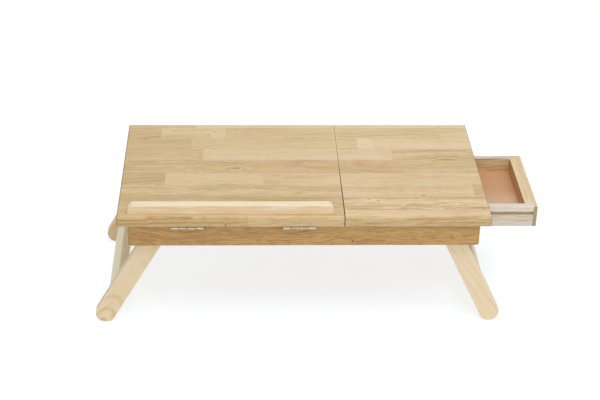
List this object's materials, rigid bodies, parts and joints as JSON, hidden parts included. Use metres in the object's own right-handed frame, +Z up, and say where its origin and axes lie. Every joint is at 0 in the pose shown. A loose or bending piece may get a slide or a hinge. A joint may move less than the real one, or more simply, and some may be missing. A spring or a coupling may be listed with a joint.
{
  "type": "laptop table",
  "caption": "Low folding laptop table in light oak with a tilting panel, a book ledge, a side drawer and splayed legs that fold flat.",
  "frame": {"origin": "on the floor, midway between the left feet's outermost point and the open drawer's end board, in the middle of the depth", "axes": "+X to the end with the drawer, +Y away from the sitter, +Z up"},
  "size_m": [0.6712, 0.3, 0.2145],
  "materials": {
    "oak_top": "oiled, satin",
    "oak_apron": "oiled, satin",
    "beech": "oiled, satin",
    "birch": "sanded, matte",
    "pine": "raw, matte",
    "plywood": "raw, matte",
    "steel": "zinc plated",
    "nickel": "nickel plated, satin",
    "brass": "plain",
    "nylon": "moulded"
  },
  "bodies": {
    "frame": {"front_apron": "oak_apron", "rear_apron": "oak_apron", "left_end_rail": "oak_apron", "middle_rail": "birch", "front_end_block": "oak_apron", "rear_end_block": "oak_apron", "fixed_panel": "oak_top", "front_partition": "birch", "rear_partition": "birch", "front_runner": "beech", "rear_runner": "beech", "runner_screws": "steel", "drawer_stop": "birch", "drawer_stop_screws": "steel", "fixed_panel_screws": "steel", "frame_dowels": "birch", "leg_bolt_inserts": "brass", "leg_pivot_bolts": "steel", "leg_spacer_washers": "nylon", "leg_head_washers": "steel", "prop_bushes": "nylon", "left_hinge_lower_leaf": "nickel", "right_hinge_lower_leaf": "nickel", "left_hinge_pin": "steel", "right_hinge_pin": "steel", "hinge_apron_screws": "nickel"},
    "tilt_panel": {"tilt_panel": "oak_top", "book_ledge": "beech", "ledge_screws": "steel", "left_hinge_upper_leaf": "nickel", "right_hinge_upper_leaf": "nickel", "hinge_panel_screws": "nickel", "left_notched_strip": "beech", "right_notched_strip": "beech", "notched_strip_screws": "steel"},
    "prop": {"prop_wire": "steel"},
    "left_legs": {"left_front_leg": "birch", "left_rear_leg": "birch", "left_crossbar": "birch", "left_crossbar_dowels": "beech"},
    "right_legs": {"right_front_leg": "birch", "right_rear_leg": "birch", "right_crossbar": "birch", "right_crossbar_dowels": "beech"},
    "drawer": {"drawer_end_board": "oak_top", "drawer_front_side": "pine", "drawer_rear_side": "pine", "drawer_back": "pine", "drawer_floor": "plywood", "drawer_nails": "steel"}
  },
  "joints": [
    {"name": "panel_tilt", "type": "hinge", "parent": "frame", "child": "tilt_panel", "pos_m": [-0.11044, -0.1475, 0.1793], "axis": [1, 0, 0], "range_deg": [0, 30]},
    {"name": "prop_swing", "type": "hinge", "parent": "frame", "child": "prop", "pos_m": [-0.13379, -0.02251, 0.1593], "axis": [1, 0, 0], "range_deg": [0, 60]},
    {"name": "left_leg_fold", "type": "hinge", "parent": "frame", "child": "left_legs", "pos_m": [-0.23511, 0, 0.163], "axis": [0, -1, 0], "range_deg": [0, 120]},
    {"name": "right_leg_fold", "type": "hinge", "parent": "frame", "child": "right_legs", "pos_m": [0.19622, 0, 0.163], "axis": [0, 1, 0], "range_deg": [0, 116]},
    {"name": "drawer_slide", "type": "slide", "parent": "frame", "child": "drawer", "axis": [1, 0, 0], "range_m": [-0.097, 0.01]}
  ],
  "couplings": [
    {"joint": "prop_swing", "follows": "panel_tilt", "ratio": 2}
  ]
}
